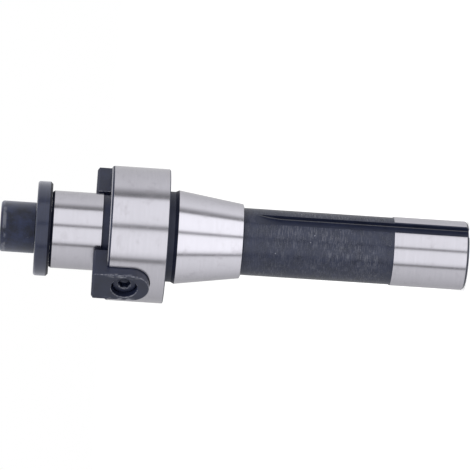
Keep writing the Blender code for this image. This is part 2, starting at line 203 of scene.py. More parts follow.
class LockScrewSizes(bpy.types.PropertyGroup):
    """Sizes of the lock screw, an M12."""

    crest: length("Thread crest", "Outer radius of the thread", 0.00594)
    root: length("Thread root", "Inner radius of the thread", 0.00493)
    pitch: length("Pitch", "Of the thread", 0.00175)
    shank: length("Length", "Under the head", 0.030)
    tip: length("Tip radius", "Where the chamfered tip ends", 0.0047)
    head: length("Head radius", "Outside of the head", 0.008875)
    height: length("Head height", "Height of the head", 0.012)
    rounding: length("Head rounding", "Round of the head's top edge", 0.0011)
    foot: length("Head foot", "Chamfer under the head", 0.0002)
    drop: length("Head drop", "How far the head reaches down to the washer", 0.00018)
    socket: length("Socket", "Across the flats of the socket", 0.010)
    socket_depth: length("Socket depth", "Depth of the socket's flats", 0.006)
    socket_lead: length("Socket lead", "Chamfer at the socket's mouth", 0.0004)
    # The lighter band below the lock screw's head top is a painted highlight.
    rim_low: length("Rim highlight from", "Below the head's top, where its painted rim highlight starts", 0.0023)
    rim_high: length("Rim highlight to", "Below the head's top, where its painted rim highlight ends", 0.0006)


class KeyScrewSizes(bpy.types.PropertyGroup):
    """Sizes of a key screw, an M5."""

    crest: length("Thread crest", "Outer radius of the thread", 0.00246)
    root: length("Thread root", "Inner radius of the thread", 0.00201)
    pitch: length("Pitch", "Of the thread", 0.0008)
    shank: length("Length", "Under the head", 0.010)
    tip: length("Tip radius", "Where the chamfered tip ends", 0.0019)
    head: length("Head radius", "Outside of the head", 0.00425)
    height: length("Head height", "Height of the head", 0.005)
    rounding: length("Head rounding", "Round of the head's top edge", 0.0006)
    foot: length("Head foot", "Chamfer under the head", 0.0001)
    drop: length("Head drop", "How far the head reaches down", 0.0)
    socket: length("Socket", "Across the flats of the socket", 0.004)
    socket_depth: length("Socket depth", "Depth of the socket's flats", 0.0025)
    socket_lead: length("Socket lead", "Chamfer at the socket's mouth", 0.0002)


class WasherSizes(bpy.types.PropertyGroup):
    """Sizes of the thick washer."""

    hole: length("Hole radius", "Round the lock screw's thread", 0.0065)
    hole_break: length("Hole chamfer", "At both ends of the hole", 0.0003)
    rounding: length("Edge rounding", "Of the outer front edge", 0.0009)
    back_chamfer: length("Back chamfer", "On the edge towards the pilot", 0.0008)


class Finishes(bpy.types.PropertyGroup):
    """Colours and gloss of the steels."""

    ground: colour("Ground steel", "Bright ground surfaces", (0.66, 0.648, 0.712))
    ground_roughness: share("Ground roughness", "Roughness of the ground surfaces", 0.17)
    smudge: colour("Smudge", "Handled patches of the ground steel", (0.53, 0.51, 0.56))
    oxide: colour("Black oxide", "Blackened steel", (0.0120, 0.0165, 0.041))
    oxide_roughness: share("Oxide roughness", "Roughness of the blackened turned surfaces", 0.30)
    oxide_shine: colour("Oxide shine", "Tint of the blackened steel's reflections", (0.85, 0.87, 0.97))
    # Real edge wear, and also the colour of the painted highlights on the lock screw's rim and the keyway's
    # corner strips.
    wear_and_highlight: colour("Edge wear and highlight", "Blackened edges that have been rubbed", (0.20, 0.205, 0.24))


class Studio(bpy.types.PropertyGroup):
    """Camera and light."""

    azimuth: FloatProperty(
        name="Camera azimuth",
        description="Turned from +X towards +Y",
        default=radians(45.3),
        subtype="ANGLE",
    )
    distance: length("Camera distance", "From the arbor's axis", 1.2222)
    height: length("Camera height", "Above the floor", 0.145)
    aim_height: length("Aim height", "Where the camera looks", 0.0812)
    aim_shift: length("Aim shift", "How far beside the axis the camera looks", 0.00206)
    roll: FloatProperty(
        name="Roll",
        description="Lean of the arbor's axis in the picture",
        default=radians(3.73),
        subtype="ANGLE",
    )
    lens: FloatProperty(
        name="Focal length",
        description="For a picture 36 mm wide",
        default=0.26809,
        precision=5,
        unit="LENGTH",
    )
    floor_size: length("Floor size", "Side of the floor", 12.0)


# Node trees


class Signal:
    """A node's output that Python's operators work on, each adding a Math node to its tree."""

    def __init__(self, tree, socket):
        self.tree = tree
        self.socket = socket

    def math(self, operation, *values):
        return self.tree.node("ShaderNodeMath", {"operation": operation}, [self, *values])

    def __add__(self, other):
        return self.math("ADD", other)

    def __radd__(self, other):
        return self.math("ADD", other)

    def __sub__(self, other):
        return self.math("SUBTRACT", other)

    def __rsub__(self, other):
        return self.tree.node("ShaderNodeMath", {"operation": "SUBTRACT"}, [other, self])

    def __mul__(self, other):
        return self.math("MULTIPLY", other)

    def __rmul__(self, other):
        return self.math("MULTIPLY", other)

    def __truediv__(self, other):
        return self.math("DIVIDE", other)

    def __gt__(self, other):
        return self.math("GREATER_THAN", other)

    def __lt__(self, other):
        return self.math("LESS_THAN", other)

    def at_least(self, other):
        return self.math("MAXIMUM", other)

    def at_most(self, other):
        return self.math("MINIMUM", other)

    def held(self):
        """The value kept between 0 and 1."""
        return self.at_least(0.0).at_most(1.0)


class Tree:
    """A node tree that grows one node at a time."""

    def __init__(self, node_tree):
        self.nodes = node_tree.nodes
        self.links = node_tree.links

    def node(self, kind, settings=None, values=None, output=0):
        """Adds a node, sets its settings and then its sockets, by place or by name, and returns an output."""
        made = self.nodes.new(kind)
        for name, value in (settings or {}).items():
            setattr(made, name, value)
        pairs = values.items() if isinstance(values, dict) else enumerate(values or [])
        for key, value in pairs:
            if isinstance(value, Signal):
                self.links.new(value.socket, made.inputs[key])
            else:
                made.inputs[key].default_value = value
        return Signal(self, made.outputs[output])

    def split(self, vector):
        parts = self.node("ShaderNodeSeparateXYZ", values=[vector])
        return [Signal(self, parts.socket.node.outputs[i]) for i in range(3)]

    def rays(self, *kinds):
        """Light Path's tests for kinds of ray."""
        tests = self.node("ShaderNodeLightPath").socket.node.outputs
        return [Signal(self, tests[f"Is {kind} Ray"]) for kind in kinds]

    def combine(self, *values):
        return self.node("ShaderNodeCombineXYZ", values=values)

    def noise(self, vector, scale, detail=2.0, roughness=0.5):
        return self.node(
            "ShaderNodeTexNoise",
            values={"Vector": vector, "Scale": scale, "Detail": detail, "Roughness": roughness},
        )

    def ease(self, value, low, high, start=0.0, end=1.0):
        """Goes smoothly from start at low to end at high."""
        return self.node(
            "ShaderNodeMapRange",
            {"interpolation_type": "SMOOTHSTEP"},
            {"Value": value, "From Min": low, "From Max": high, "To Min": start, "To Max": end},
        )

    def blend(self, share_of_second, first, second):
        """A colour between two colours."""
        mix = self.nodes.new("ShaderNodeMix")
        mix.data_type = "RGBA"
        values = {0: share_of_second, 6: first, 7: second}
        for number, value in values.items():
            socket = mix.inputs[number]
            if isinstance(value, Signal):
                self.links.new(value.socket, socket)
            else:
                socket.default_value = value
        return Signal(self, mix.outputs[2])


def rgba(values, scale=1.0):
    return (*(v * scale for v in values), 1.0)


def steel(name, build, **uniform):
    """A steel finish. build(tree, place) returns what varies, by socket name, and a height for the bump."""
    mat = bpy.data.materials.new(name)
    mat.use_nodes = True
    tree = Tree(mat.node_tree)
    shader = mat.node_tree.nodes["Principled BSDF"]
    for key, value in uniform.items():
        shader.inputs[key.replace("_", " ")].default_value = value
    place = tree.node("ShaderNodeTexCoord", output=3)
    varied, bump = build(tree, place)
    for key, value in varied.items():
        tree.links.new(value.socket, shader.inputs[key])
    if bump:
        strength, distance, height = bump
        normal = tree.node(
            "ShaderNodeBump", values={"Strength": strength, "Distance": distance, "Height": height}
        )
        tree.links.new(normal.socket, shader.inputs["Normal"])
    return mat


def round_marks(tree, place, fineness, wander=140.0):
    """Marks that run round the arbor's axis, on its cylinders and on its faces."""
    x, y, z = tree.split(place)
    radius = (x * x + y * y).math("SQRT")
    return tree.noise(tree.combine(x * wander, y * wander, (z + radius) * fineness), 1.0, detail=3.0)


def ground_steel(settings):
    def build(tree, place):
        fine = round_marks(tree, place, GROUND_MARKS)
        broad = round_marks(tree, place, BROAD_MARKS, wander=60.0)
        cloud = tree.noise(place, 90.0, detail=3.0)
        smudge = tree.ease(tree.noise(place, 210.0, detail=5.0, roughness=0.65), 0.52, 0.78)
        tone = tree.ease(fine * 0.55 + broad * 0.2 + cloud * 0.25, 0.3, 0.7)
        base = tree.blend(tone, rgba(settings.ground, 0.95), rgba(settings.ground, 1.04))
        base = tree.blend(smudge * 0.55, base, rgba(settings.smudge))
        rough = settings.ground_roughness + (fine - 0.5) * 0.08 + (cloud - 0.5) * 0.06 + smudge * 0.08
        return {"Base Color": base, "Roughness": rough.held()}, (0.2, 0.00002, fine)

    return steel("ground_steel", build, Metallic=1.0)


def black_oxide(
    name, settings, roughness, mottle, marks=0.3, depth=1.0, gloss=1.6, sheen=0.0, rim=None
):
    """Blackened steel. mottle is for clouds and specks, marks for turning marks, depth for the colour's
    strength, and rim for the two heights between which a painted highlight lies."""

    def build(tree, place):
        cloud = tree.noise(place, OXIDE_CLOUDS, detail=5.0, roughness=0.6)
        grain = tree.noise(place, OXIDE_GRAINS, detail=3.0)
        lines = round_marks(tree, place, OXIDE_MARKS)
        speck = tree.ease(tree.noise(place, 700.0, detail=2.0), 0.70, 0.80)
        tone = 0.5 + (cloud - 0.5) * mottle * 2.4 + (grain - 0.5) * mottle + (lines - 0.5) * marks
        tone = tone.held()
        base = tree.blend(tone, rgba(settings.oxide, 0.35 * depth), rgba(settings.oxide, 1.75 * depth))
        base = tree.blend(speck * mottle * 0.35, base, rgba(settings.wear_and_highlight))
        # Painted highlight: a lighter patchy band in the edge wear colour round the rim, between the two
        # heights.
        if rim:
            _x, _y, z = tree.split(place)
            band = tree.ease(z, rim[0], rim[0] + 0.0006) * tree.ease(z, rim[1], rim[1] - 0.0005)
            patch = tree.ease(tree.noise(place, 320.0, detail=4.0), 0.40, 0.60)
            base = tree.blend(band * patch * 0.6, base, rgba(settings.wear_and_highlight))
        rough = roughness + (cloud - 0.5) * 0.25 * mottle + (grain - 0.5) * 0.12
        height = grain * 0.5 + lines * marks
        return {"Base Color": base, "Roughness": rough.held()}, (0.35, 0.00003, height)

    return steel(
        name,
        build,
        Metallic=0.0,
        IOR=gloss,
        Specular_Tint=rgba(settings.oxide_shine),
        Sheen_Weight=sheen,
        Sheen_Roughness=0.5,
        Sheen_Tint=rgba(settings.oxide_shine),
    )


def turned_oxide(settings):
    """The blackened lengths of the body: fine turning lines broken up by wear, and a few bright nicks."""

    def build(tree, place):
        _x, _y, z = tree.split(place)
        lines = round_marks(tree, place, SHANK_MARKS, wander=420.0)
        patch = tree.ease(tree.noise(place, 75.0, detail=3.0), 0.35, 0.65)
        worn_length = tree.ease(z, 0.024, 0.036) * tree.ease(z, 0.080, 0.064)
        grain = tree.noise(place, 1900.0, detail=4.0, roughness=0.6)
        cloud = tree.noise(place, 300.0, detail=4.0)
        rub = tree.ease(lines * 0.72 + grain * 0.28, 0.48, 0.62)
        rub = rub * (0.25 + worn_length * 0.75) * (0.35 + patch * 0.65)
        nick = tree.ease(tree.noise(place, 640.0, detail=1.0), 0.765, 0.795)
        tone = (0.5 + (cloud - 0.5) * 1.2 + (grain - 0.5) * 0.6).held()
        base = tree.blend(tone, rgba(settings.oxide, 0.5), rgba(settings.oxide, 1.4))
        base = tree.blend(rub * 0.5, base, rgba(settings.wear_and_highlight))
        base = tree.blend(nick * 0.7, base, rgba(settings.wear_and_highlight, 1.6))
        rough = settings.oxide_roughness + (cloud - 0.5) * 0.2 + (grain - 0.5) * 0.12
        return {"Base Color": base, "Roughness": rough.held()}, (0.55, 0.00003, lines * 0.6 + grain * 0.4)

    shine = rgba(settings.oxide_shine)
    return steel("black_oxide_turned", build, Metallic=0.0, IOR=1.64, Specular_Tint=shine)


def worn_oxide(settings):
    def build(tree, place):
        patch = tree.noise(place, 1500.0, detail=4.0, roughness=0.6)
        base = tree.blend(tree.ease(patch, 0.40, 0.62), rgba(settings.oxide, 1.5), rgba(settings.wear_and_highlight))
        return {"Base Color": base, "Roughness": 0.26 + patch * 0.2}, None

    return steel("worn_black_edge", build, Metallic=0.0, IOR=1.6)


# Bare steel of the cut threads; the same finish paints a highlight on the keyway's corner strips.
def thread_and_highlight_steel(settings):
    def build(tree, place):
        cloud = tree.noise(place, 900.0, detail=4.0)
        base = tree.blend(cloud, rgba(settings.oxide, 0.8), rgba(settings.wear_and_highlight, 0.45))
        return {"Base Color": base, "Roughness": 0.25 + cloud * 0.2}, None

    return steel("cut_thread", build, Metallic=0.0, IOR=1.6)


# Meshes


def new_object(name, bm, finishes):
    mesh = bpy.data.meshes.new(name)
    bmesh.ops.recalc_face_normals(bm, faces=bm.faces)
    bm.to_mesh(mesh)
    bm.free()
    for mat in finishes:
        mesh.materials.append(mat)
    obj = bpy.data.objects.new(name, mesh)
    bpy.context.scene.collection.objects.link(obj)
    return obj


def soften(profile, rounding):
    """Rounds the corners of a turned profile. A corner is (radius, height, finish of the run after it)."""
    out = [profile[0]]
    for before, corner, after in zip(profile, profile[1:], profile[2:]):
        point = Vector(corner[:2])
        back, ahead = Vector(before[:2]) - point, Vector(after[:2]) - point
        cut_back = min(rounding, 0.4 * back.length)
        cut_ahead = min(rounding, 0.4 * ahead.length)
        first, last = point + back.normalized() * cut_back, point + ahead.normalized() * cut_ahead
        for i in range(ARC_STEPS + 1):
            t = i / ARC_STEPS
            place = first * (1 - t) ** 2 + point * 2 * t * (1 - t) + last * t**2
            finish = before[2] if i < ARC_STEPS / 2 else corner[2]
            out.append((place.x, place.y, finish))
    out.append(profile[-1])
    return out


def quarter(radius, height, rounding):
    """A quarter round on a turned profile, from its top to its outside."""
    angles = [pi / 2 * (1 - i / ROUND_STEPS) for i in range(ROUND_STEPS + 1)]
    return [(radius + rounding * cos(a), height + rounding * sin(a), 0) for a in angles]


def lathe(name, profile, steps, finishes, closed=False):
    """A turned object about Z from a profile of (radius, height, number of its finish)."""
    bm = bmesh.new()
    rings = []
    for radius, height, _finish in profile:
        if radius < WELD:
            rings.append([bm.verts.new((0.0, 0.0, height))])
        else:
            turn = [2 * pi * i / steps for i in range(steps)]
            rings.append([bm.verts.new((radius * cos(a), radius * sin(a), height)) for a in turn])
    pairs = list(zip(rings, rings[1:], profile))
    if closed:
        pairs.append((rings[-1], rings[0], profile[-1]))
    for ring, following, (_radius, _height, finish) in pairs:
        for i in range(steps):
            corners = [ring[i % len(ring)], ring[(i + 1) % len(ring)]]
            corners += [following[(i + 1) % len(following)], following[i % len(following)]]
            face = bm.faces.new(list(dict.fromkeys(corners)))
            face.material_index = finish
    return new_object(name, bm, finishes)


def prism(name, outline, height, finishes=()):
    """A flat outline in X and Y, raised from Z = 0 to the height."""
    bm = bmesh.new()
    face = bm.faces.new([bm.verts.new((x, y, 0.0)) for x, y in outline])
    raised = bmesh.ops.extrude_face_region(bm, geom=[face])
    verts = [v for v in raised["geom"] if isinstance(v, bmesh.types.BMVert)]
    bmesh.ops.translate(bm, verts=verts, vec=(0.0, 0.0, height))
    return new_object(name, bm, finishes)


def trough(name, path, s, top, finishes):
    """A keyway's cutter on the +Y side along a path of (radius, height), with strips in its corners that take
    its second finish.
    """
    bm = bmesh.new()
    half = s.keyway_width / 2
    rings = []
    for radius, height in path:
        c = min(s.keyway_corner, (top - radius) / 3)
        right = [(half, top), (half, radius + c), (half - c, radius)]
        section = right + [(-x, y) for x, y in reversed(right)]
        rings.append([bm.verts.new((x, y, height)) for x, y in section])
    for ring, following in zip(rings, rings[1:]):
        for i in range(len(ring)):
            k = (i + 1) % len(ring)
            face = bm.faces.new((ring[i], ring[k], following[k], following[i]))
            # The corner strips take the second finish, a lighter one that paints a highlight along the
            # keyway's corners.
            face.material_index = 1 if i in (1, 3) else 0
    bm.faces.new(rings[0])
    bm.faces.new(rings[-1][::-1])
    return new_object(name, bm, finishes)


def place(obj, matrix):
    """Moves an object's mesh, so that the object itself stays at the origin."""
    obj.data.transform(matrix)
    obj.data.update()
    return obj


def settle(obj):
    """Turns what the object's modifiers make into its own plain mesh."""
    bpy.context.view_layer.update()
    depsgraph = bpy.context.evaluated_depsgraph_get()
    mesh = bpy.data.meshes.new_from_object(
        obj.evaluated_get(depsgraph), preserve_all_data_layers=True, depsgraph=depsgraph
    )
    obj.modifiers.clear()
    obj.data = mesh
    mesh.name = obj.name
    return obj


def combine(obj, other, operation="DIFFERENCE"):
    """Cuts or joins another object, which is used up. Its faces bring their own finishes."""
    boolean = obj.modifiers.new(other.name, "BOOLEAN")
    boolean.operation = operation
    boolean.solver = "EXACT"
    boolean.material_mode = "TRANSFER"
    boolean.object = other
    settle(obj)
    bpy.data.objects.remove(other, do_unlink=True)
    return obj


def polish(obj):
    """Smooth shading that keeps flats flat and edges sharp."""
    bm = bmesh.new()
    bm.from_mesh(obj.data)
    bmesh.ops.remove_doubles(bm, verts=bm.verts, dist=WELD / 2)
    bm.to_mesh(obj.data)
    bm.free()
    obj.data.shade_smooth()
    obj.data.set_sharp_from_angle(angle=SHARP_ANGLE)
    weighted = obj.modifiers.new("even_shading", "WEIGHTED_NORMAL")
    weighted.keep_sharp = True
    weighted.weight = 80
    return settle(obj)


def hand_over(obj, body, node):
    """Lets a finished piece stand for its solid."""
    polish(obj)
    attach(obj, body)
    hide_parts(node)
    return obj


def thread_tree():
    """Geometry nodes for a threaded rod: a sheet whose rows follow the helix, wrapped round Z and closed."""
    tree = bpy.data.node_groups.new("threaded_rod", "GeometryNodeTree")
    lengths = ("Length", "Crest Radius", "Root Radius", "Pitch", "Tip Radius", "Mouth Radius", "Point Depth")
    kinds = {name: "NodeSocketFloat" for name in lengths}
    kinds.update({"Steps Around": "NodeSocketInt", "Finish": "NodeSocketMaterial"})
    for name, kind in kinds.items():
        tree.interface.new_socket(name, in_out="INPUT", socket_type=kind)
    tree.interface.new_socket("Geometry", in_out="OUTPUT", socket_type="NodeSocketGeometry")
    made = Tree(tree)
    given = made.node("NodeGroupInput").socket.node
    value = {name: Signal(made, given.outputs[name]) for name in kinds}
    pitch, long = value["Pitch"], value["Length"]

    rows = ((long / pitch + 1.0) * ROWS_PER_PITCH).math("CEIL") + 3.0
    sheet = made.node(
        "GeometryNodeMeshGrid", values=[1.0, 1.0, value["Steps Around"] + 1.0, rows + 1.0]
    )
    x, y, _z = made.split(made.node("GeometryNodeInputPosition"))
    around = x + 0.5
    row = (y + 0.5) * rows
    height = ((row - 2.0) / ROWS_PER_PITCH - 1.0 + around) * pitch
    height = height.at_least(0.0).at_most(long)
    phase = (height / pitch - around).math("FRACT")
    flank = ((phase - CREST_SHARE).at_most(1.0 - phase) / FLANK_SHARE).held()
    radius = value["Root Radius"] + (value["Crest Radius"] - value["Root Radius"]) * flank
    radius = radius.at_most(value["Tip Radius"] + height)
    radius = radius.at_least(value["Mouth Radius"] - long + height)
    first, last = row < 0.5, row > (rows - 0.5)
    radius = radius * (1.0 - first - last)
    height = height - value["Point Depth"] * first
    turn = around * (2 * pi)
    wrapped = made.node(
        "GeometryNodeSetPosition",
        values={
            "Geometry": sheet,
            "Position": made.combine(
                radius * turn.math("COSINE"), radius * turn.math("SINE"), height
            ),
        },
    )
    welded = made.node("GeometryNodeMergeByDistance", values={"Geometry": wrapped, "Distance": WELD})
    real = made.node("GeometryNodeRealizeInstances", values=[welded])
    painted = made.node("GeometryNodeSetMaterial", values={"Geometry": real, "Material": value["Finish"]})
    end = made.nodes.new("NodeGroupOutput")
    made.links.new(painted.socket, end.inputs[0])
    return tree


def threaded_rod(name, tree, finish, steps, **sizes):
    """A threaded rod along +Z from Z = 0, as a plain mesh."""
    mesh = bpy.data.meshes.new(name)
    mesh.materials.append(finish)
    obj = bpy.data.objects.new(name, mesh)
    bpy.context.scene.collection.objects.link(obj)
    modifier = obj.modifiers.new("thread", "NODES")
    modifier.node_group = tree
    given = {"Steps Around": steps, "Finish": finish}
    given.update({key.replace("_", " ").title(): value for key, value in sizes.items()})
    for item in tree.interface.items_tree:
        if item.in_out == "INPUT":
            modifier[item.identifier] = given[item.name]
    settle(obj)
    bm = bmesh.new()
    bm.from_mesh(obj.data)
    bmesh.ops.dissolve_degenerate(bm, dist=WELD / 10, edges=bm.edges)
    bmesh.ops.recalc_face_normals(bm, faces=bm.faces)
    bm.to_mesh(obj.data)
    bm.free()
    return obj


def thread_cutter(name, tree, finish, pitch, crest, root, depth, mouth):
    """What a threaded hole takes away: the drill's point is below Z = 0 and the mouth is at the depth."""
    return threaded_rod(
        name,
        tree,
        finish,
        THREAD_STEPS,
        length=depth + CUT_MARGIN,
        crest_radius=crest,
        root_radius=root,
        pitch=pitch,
        tip_radius=root,
        mouth_radius=root + mouth + CUT_MARGIN,
        point_depth=crest * tan(DRILL_POINT),
    )


def pilot_end(s):
    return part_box("clamp_washer")[0].z - s.touch_gap


def arbor_profile(s):
    """The body's outside from its pilot end to its shank end: 0 is ground, 1 blackened, 2 a recess."""
    ground, black, recess = 0, 1, 2
    end = pilot_end(s)
    pilot, flange = s.pilot_diameter / 2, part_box("arbor_body")[1].y
    shank, taper = s.shank_diameter / 2, s.taper_diameter / 2
    flange_back = s.shank_length + s.neck_length
    face = flange_back + s.flange_length
    taper_end = s.shank_length - s.taper_length
    small = taper - s.taper_length * tan(TAPER_ANGLE)
    relief = shank - s.relief_depth
    return [
        (0.0, end, recess),
        (pilot - s.pilot_chamfer, end, recess),
        (pilot, end - s.pilot_chamfer_length, ground),
        (pilot, face + s.groove_width, recess),
        (pilot - s.groove_depth, face + s.groove_width - s.groove_slope, recess),
        (pilot - s.groove_depth, face, ground),
        (flange - s.flange_front_chamfer - s.flange_front_band_drop, face, ground),
        (flange - s.flange_front_band_drop, face - s.flange_front_chamfer, recess),
        (flange, face - s.flange_front_chamfer - s.flange_front_band, ground),
        (flange, flange_back + s.flange_rear_chamfer, recess),
        (flange - s.flange_rear_chamfer, flange_back, recess),
        (taper - s.neck_depth, flange_back, recess),
        (taper - s.neck_depth, s.shank_length + s.neck_flare, recess),
        (taper, s.shank_length, ground),
        (small, taper_end, black),
        (relief, taper_end - s.taper_drop, black),
        (relief, s.land_length + s.relief_step, black),
        (shank, s.land_length, ground),
        (shank, s.end_chamfer, black),
        (shank - s.end_chamfer, 0.0, ground),
        (0.0, 0.0, ground),
    ]


def key_outline(half, rear, front):
    """Straight at the front, a half circle at the rear."""
    angles = [pi + pi * i / KEY_END_STEPS for i in range(KEY_END_STEPS + 1)]
    return [(half, front), (-half, front)] + [(half * cos(a), rear + half + half * sin(a)) for a in angles]


def key_place(keys, seat, turn):
    """Takes what is drawn with X across the key, Y along the arbor and Z outwards to its seat."""
    stand = Matrix(((0, 0, 1, 0), (1, 0, 0, 0), (0, 1, 0, 0), (0, 0, 0, 1)))
    spot = Matrix.Translation((seat, 0.0, flange_face() - keys.setback))
    return Matrix.Rotation(turn, 4, "Z") @ spot @ stand


def flange_face():
    s = bpy.context.scene.arbor_sizes
    return s.shank_length + s.neck_length + s.flange_length


class ARBOR_OT_body(bpy.types.Operator):
    """Turn the body, and cut its key seats, its keyway and its two threads"""

    bl_idname = "arbor.body"
    bl_label = "Arbor Body"

    def execute(self, context):
        scene = context.scene
        s, keys = scene.arbor_sizes, scene.key_sizes
        look = scene.finishes
        black = turned_oxide(look)
        recess = black_oxide("black_oxide_recess", look, roughness=0.45, mottle=0.3, depth=0.9, gloss=1.55)
        # The cut thread's finish also paints a highlight on the keyway's corner strips.
        thread = thread_and_highlight_steel(look)
        profile = soften(arbor_profile(s), s.edge_break)
        body = lathe("keyed_arbor_body", profile, TURN_STEPS, [ground_steel(look), black, recess])
        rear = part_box("drive_key_1")[0].z - (flange_face() - keys.setback)
        for turn in (0.0, pi):
            outline = key_outline(
                keys.width / 2 + keys.seat_gap, rear - keys.seat_gap, keys.setback + CUT_MARGIN
            )
            slot = prism("slot_cutter", outline, keys.height + CUT_MARGIN, [black])
            combine(body, place(slot, key_place(keys, keys.seat_radius - keys.seat_gap, turn)))
        self.cut_keyway(body, s, recess, thread)
        tree = thread_tree()
        bottom = Matrix.Translation((0.0, 0.0, s.drawbar_depth)) @ Matrix.Rotation(pi, 4, "X")
        top = Matrix.Translation((0.0, 0.0, pilot_end(s) - s.lock_depth))
        lock_pitch = scene.lock_screw_sizes.pitch
        for hole, pitch, spot in (("drawbar", s.drawbar_pitch, bottom), ("lock", lock_pitch, top)):
            sizes = [getattr(s, f"{hole}_{size}") for size in ("crest", "root", "depth", "mouth")]
            combine(body, place(thread_cutter(f"{hole}_thread_cutter", tree, thread, pitch, *sizes), spot))
        hand_over(body, "arbor", "arbor_body")
        return {"FINISHED"}

    def cut_keyway(self, body, s, finish, corner_highlight):
        shank = s.shank_diameter / 2
        floor, rise = shank - s.keyway_depth, s.keyway_depth + CUT_MARGIN
        last = acos(1 - rise / s.keyway_cutter_radius)
        path = [(floor, -CUT_MARGIN)]
        for i in range(RUNOUT_STEPS + 1):
            a = last * i / RUNOUT_STEPS
            lift = s.keyway_cutter_radius * (1 - cos(a))
            path.append((floor + lift, s.keyway_length + s.keyway_cutter_radius * sin(a)))
        # The corner strips of the keyway take the lighter finish: a painted highlight.
        combine(body, trough("keyway_cutter", path, s, floor + rise + CUT_MARGIN, [finish, corner_highlight]))
        inner = s.keyway_width / 2
        outer = inner + s.keyway_chamfer + CUT_MARGIN
        low, high = shank - s.keyway_chamfer, shank + CUT_MARGIN
        left = s.keyway_depth - s.keyway_chamfer
        runout = sqrt(2 * s.keyway_cutter_radius * left - left**2)
        wedge = prism(
            "keyway_chamfer_cutter",
            [(-inner, low), (inner, low), (outer, high), (-outer, high)],
            CUT_MARGIN + s.keyway_length + runout,
            [finish],
        )
        combine(body, place(wedge, Matrix.Translation((0.0, 0.0, -CUT_MARGIN))))


def key_oxide(settings, axis):
    """Plain blackened steel with scuffs beside the counterbore, whose axis is at a height."""

    def build(tree, place):
        x, y, z = tree.split(place)
        cloud = tree.noise(place, OXIDE_CLOUDS, detail=5.0, roughness=0.6)
        grain = tree.noise(place, OXIDE_GRAINS, detail=3.0)
        tone = (0.5 + (cloud - 0.5) * 0.9 + (grain - 0.5) * 0.4).held()
        base = tree.blend(tone, rgba(settings.oxide, 0.4), rgba(settings.oxide, 1.6))
        drawn = tree.combine(x * 900.0, y * 1500.0, z * 420.0)
        scratch = tree.ease(tree.noise(drawn, 1.0, detail=4.0), 0.46, 0.62)
        along = (z - axis).math("ABSOLUTE")
        beside = tree.ease(y.math("ABSOLUTE"), 0.0042, 0.0056) * tree.ease(along, 0.0075, 0.0030)
        outer = tree.ease(x.math("ABSOLUTE"), 0.0252, 0.0261)
        base = tree.blend(scratch * beside * outer * 0.9, base, rgba(settings.wear_and_highlight, 1.3))
        rough = 0.42 + (cloud - 0.5) * 0.1 + (grain - 0.5) * 0.12
        return {"Base Color": base, "Roughness": rough.held()}, (0.35, 0.00003, grain)

    return steel("black_oxide_key", build, Metallic=0.0, IOR=1.6)


class ARBOR_OT_drive_keys(bpy.types.Operator):
    """Make the two drive keys, with their chamfers and counterbores"""

    bl_idname = "arbor.drive_keys"
    bl_label = "Drive Keys"

    def execute(self, context):
        scene = context.scene
        keys = scene.key_sizes
        low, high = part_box("drive_key_1")
        axis = flange_face() - keys.setback
        high.z -= keys.front_inset
        finishes = [key_oxide(scene.finishes, axis), worn_oxide(scene.finishes)]
        front = high.z - axis
        for number, turn in ((1, 0.0), (2, pi)):
            outline = key_outline(keys.width / 2, low.z - axis, front)
            key = prism(f"chamfered_drive_key_{number}", outline, keys.height, finishes)
            self.break_edges(key, keys, front)
            bore = lathe(
                "counterbore_cutter",
                [
                    (0.0, keys.height + CUT_MARGIN, 0),
                    (keys.bore + keys.bore_break + CUT_MARGIN, keys.height + CUT_MARGIN, 1),
                    (keys.bore, keys.height - keys.bore_break, 0),
                    (keys.bore, keys.height - keys.bore_depth, 0),
                    (keys.hole, keys.height - keys.bore_depth, 0),
                    (keys.hole, -CUT_MARGIN, 0),
                    (0.0, -CUT_MARGIN, 0),
                ],
                KEY_SCREW_STEPS,
                finishes,
            )
            combine(key, bore)
            place(key, key_place(keys, keys.seat_radius, turn))
            hand_over(key, "arbor", f"drive_key_{number}")
        return {"FINISHED"}

    def break_edges(self, key, keys, front):
        """A wide black chamfer round the front face, and a narrow bright one along the other edges."""
        bm = bmesh.new()
        bm.from_mesh(key.data)
        for width, finish in ((keys.front_chamfer, 0), (keys.edge_break, 1)):
            if finish:
                edges = [edge for edge in bm.edges if edge.calc_face_angle(0.0) > RUBBED_ANGLE]
            else:
                edges = [
                    edge for edge in bm.edges if all(abs(v.co.y - front) < WELD for v in edge.verts)
                ]
            bmesh.ops.bevel(
                bm,
                geom=edges,
                offset=width,
                offset_type="OFFSET",
                segments=1,
                profile=0.5,
                affect="EDGES",
                clamp_overlap=True,
                material=finish,
            )
        bmesh.ops.recalc_face_normals(bm, faces=bm.faces)
        bm.to_mesh(key.data)
        bm.free()


